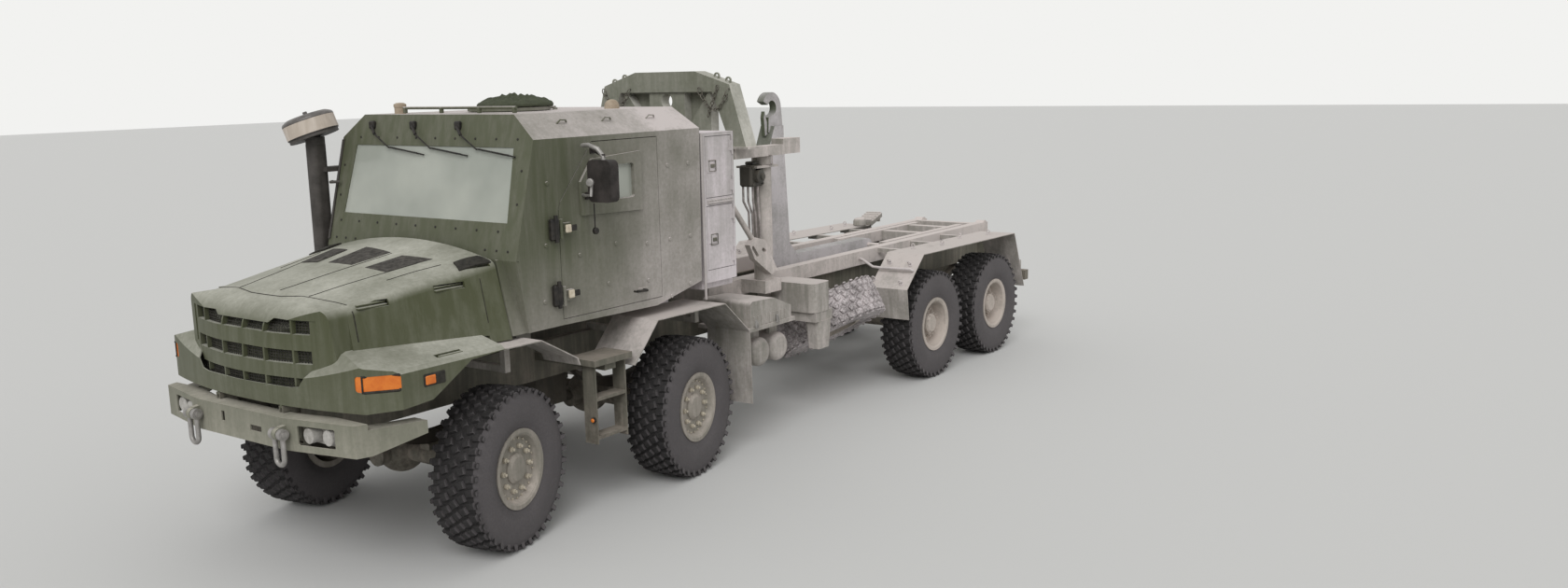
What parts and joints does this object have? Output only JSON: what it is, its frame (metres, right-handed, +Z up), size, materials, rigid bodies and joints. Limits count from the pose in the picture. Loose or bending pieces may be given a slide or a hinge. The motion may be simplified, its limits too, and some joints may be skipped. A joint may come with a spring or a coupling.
{
  "type": "military cargo truck",
  "caption": "Military cargo truck with an armoured bonneted cab, hook loader arm and container handling frame.",
  "frame": {"origin": "on the ground under the middle of the truck's bounding box", "axes": "+X forwards to the bumper, +Y to the truck's left, +Z up"},
  "size_m": [10.3798, 2.9, 3.368],
  "materials": {
    "olive_paint": "matt military paint",
    "olive_moulding": "painted moulded plastic",
    "frame_paint": "dusty paint",
    "spring_steel": "rolled, dull",
    "cast_parts": "cast, dusty",
    "grey_steel": "galvanised",
    "lamp_lens": "clear lens",
    "amber_lens": "moulded lens",
    "screen_glass": "armoured glass",
    "seat_cloth": "woven",
    "dark_plastic": "grained",
    "rod_chrome": "polished",
    "tyre_rubber": "worn, dusty",
    "rim_paint": "dusty paint"
  },
  "bodies": {
    "chassis": {"chassis_frame": "frame_paint", "axle_beams": "frame_paint", "leaf_springs": "spring_steel", "drive_line": "cast_parts", "bumper": "olive_paint", "tow_fittings": "grey_steel", "lamps": "lamp_lens", "cab_shell": "olive_paint", "windscreen_frame": "olive_paint", "windscreen": "screen_glass", "seats": "seat_cloth", "dashboard": "dark_plastic", "snorkel": "olive_paint", "front_fenders": "olive_paint", "cab_steps": "frame_paint", "rear_fenders": "olive_paint", "side_locker": "olive_paint", "side_boxes": "olive_paint", "right_tanks": "olive_paint", "spare_tyre": "tyre_rubber", "spare_rim": "rim_paint", "lift_subframe": "frame_paint", "container_frame": "olive_paint", "frame_posts": "frame_paint"},
    "hood_group": {"hood": "olive_moulding", "grille": "dark_plastic", "wing_lamps": "amber_lens"},
    "door_group_left": {"door_left": "olive_paint", "door_window_left": "screen_glass", "mirror_left": "dark_plastic"},
    "door_group_right": {"door_right": "olive_paint", "door_window_right": "screen_glass", "mirror_right": "dark_plastic"},
    "hatch_lid": {"roof_hatch": "olive_paint"},
    "locker_upper": {"locker_door_upper": "olive_paint"},
    "locker_lower": {"locker_door_lower": "olive_paint"},
    "tilt_frame": {"lift_frame": "frame_paint"},
    "hook_group": {"hook_arm": "olive_paint"},
    "barrels": {"cylinder_barrels": "frame_paint"},
    "rods": {"cylinder_rods": "rod_chrome"},
    "wheel_1_left": {"tyre_1_left": "tyre_rubber", "rim_1_left": "rim_paint"},
    "knuckle_body_1_left": {"knuckle_1_left": "cast_parts"},
    "wheel_1_right": {"tyre_1_right": "tyre_rubber", "rim_1_right": "rim_paint"},
    "knuckle_body_1_right": {"knuckle_1_right": "cast_parts"},
    "wheel_2_left": {"tyre_2_left": "tyre_rubber", "rim_2_left": "rim_paint"},
    "knuckle_body_2_left": {"knuckle_2_left": "cast_parts"},
    "wheel_2_right": {"tyre_2_right": "tyre_rubber", "rim_2_right": "rim_paint"},
    "knuckle_body_2_right": {"knuckle_2_right": "cast_parts"},
    "wheel_3_left": {"tyre_3_left": "tyre_rubber", "rim_3_left": "rim_paint"},
    "wheel_3_right": {"tyre_3_right": "tyre_rubber", "rim_3_right": "rim_paint"},
    "wheel_4_left": {"tyre_4_left": "tyre_rubber", "rim_4_left": "rim_paint"},
    "wheel_4_right": {"tyre_4_right": "tyre_rubber", "rim_4_right": "rim_paint"}
  },
  "joints": [
    {"name": "steer_1_left", "type": "hinge", "parent": "chassis", "child": "knuckle_body_1_left", "pos_m": [3.82, 0.843, 0.59], "axis": [0, 0, 1], "range_deg": [-48.6, 21.4]},
    {"name": "spin_1_left", "type": "hinge", "parent": "knuckle_body_1_left", "child": "wheel_1_left", "pos_m": [3.7718, 1.04225, 0.59], "axis": [-0.2351, 0.972, 0], "continuous": true},
    {"name": "steer_1_right", "type": "hinge", "parent": "chassis", "child": "knuckle_body_1_right", "pos_m": [3.82, -0.843, 0.59], "axis": [0, 0, 1], "range_deg": [-48.6, 21.4]},
    {"name": "spin_1_right", "type": "hinge", "parent": "knuckle_body_1_right", "child": "wheel_1_right", "pos_m": [3.8682, -1.04225, 0.59], "axis": [0.2351, -0.972, 0], "continuous": true},
    {"name": "steer_2_left", "type": "hinge", "parent": "chassis", "child": "knuckle_body_2_left", "pos_m": [1.795, 0.843, 0.59], "axis": [0, 0, 1], "range_deg": [-34.02, 14.98]},
    {"name": "spin_2_left", "type": "hinge", "parent": "knuckle_body_2_left", "child": "wheel_2_left", "pos_m": [1.76152, 1.04525, 0.59], "axis": [-0.1633, 0.9866, 0], "continuous": true},
    {"name": "steer_2_right", "type": "hinge", "parent": "chassis", "child": "knuckle_body_2_right", "pos_m": [1.795, -0.843, 0.59], "axis": [0, 0, 1], "range_deg": [-34.02, 14.98]},
    {"name": "spin_2_right", "type": "hinge", "parent": "knuckle_body_2_right", "child": "wheel_2_right", "pos_m": [1.82848, -1.04525, 0.59], "axis": [0.1633, -0.9866, 0], "continuous": true},
    {"name": "spin_3_left", "type": "hinge", "parent": "chassis", "child": "wheel_3_left", "pos_m": [-2.385, 1.048, 0.59], "axis": [0, 1, 0], "continuous": true},
    {"name": "spin_3_right", "type": "hinge", "parent": "chassis", "child": "wheel_3_right", "pos_m": [-2.385, -1.048, 0.59], "axis": [0, -1, 0], "continuous": true},
    {"name": "spin_4_left", "type": "hinge", "parent": "chassis", "child": "wheel_4_left", "pos_m": [-3.835, 1.048, 0.59], "axis": [0, 1, 0], "continuous": true},
    {"name": "spin_4_right", "type": "hinge", "parent": "chassis", "child": "wheel_4_right", "pos_m": [-3.835, -1.048, 0.59], "axis": [0, -1, 0], "continuous": true},
    {"name": "hood_tilt", "type": "hinge", "parent": "chassis", "child": "hood_group", "pos_m": [5, 0, 1.216], "axis": [0, 1, 0], "range_deg": [0, 50]},
    {"name": "door_swing_left", "type": "hinge", "parent": "chassis", "child": "door_group_left", "pos_m": [3.13, 1.126, 1.99], "axis": [0, 0, -1], "range_deg": [0, 80]},
    {"name": "door_swing_right", "type": "hinge", "parent": "chassis", "child": "door_group_right", "pos_m": [3.13, -1.126, 1.99], "axis": [0, 0, 1], "range_deg": [0, 80]},
    {"name": "hatch_lift", "type": "hinge", "parent": "chassis", "child": "hatch_lid", "pos_m": [2.178, 0, 3.098], "axis": [0, -1, 0], "range_deg": [0, 95]},
    {"name": "locker_swing_upper", "type": "hinge", "parent": "chassis", "child": "locker_upper", "pos_m": [1.026, 1.1, 2.49], "axis": [0, 0, 1], "range_deg": [0, 110]},
    {"name": "locker_swing_lower", "type": "hinge", "parent": "chassis", "child": "locker_lower", "pos_m": [1.026, 1.1, 1.87], "axis": [0, 0, 1], "range_deg": [0, 110]},
    {"name": "frame_lift", "type": "hinge", "parent": "chassis", "child": "tilt_frame", "pos_m": [-4.68, 0, 1.33], "axis": [0, -1, 0], "range_deg": [0, 50]},
    {"name": "hook_swing", "type": "hinge", "parent": "tilt_frame", "child": "hook_group", "pos_m": [-2.83, 0, 1.345], "axis": [0, 1, 0], "range_deg": [-130, 0]},
    {"name": "barrel_swing", "type": "hinge", "parent": "chassis", "child": "barrels", "pos_m": [-0.53, 0, 1.15], "axis": [0, 1, 0], "range_deg": [0, 21.59]},
    {"name": "rod_slide", "type": "slide", "parent": "barrels", "child": "rods", "axis": [-0.9987, 0, 0.0507], "range_m": [0, 0.8421]}
  ],
  "couplings": [
    {"joint": "steer_1_right", "follows": "steer_1_left", "ratio": 1},
    {"joint": "steer_2_left", "follows": "steer_1_left", "ratio": 0.7},
    {"joint": "steer_2_right", "follows": "steer_1_left", "ratio": 0.7},
    {"joint": "barrel_swing", "follows": "frame_lift", "ratio": 0.4317},
    {"joint": "rod_slide", "follows": "frame_lift", "m_per_rad": 0.96489}
  ]
}
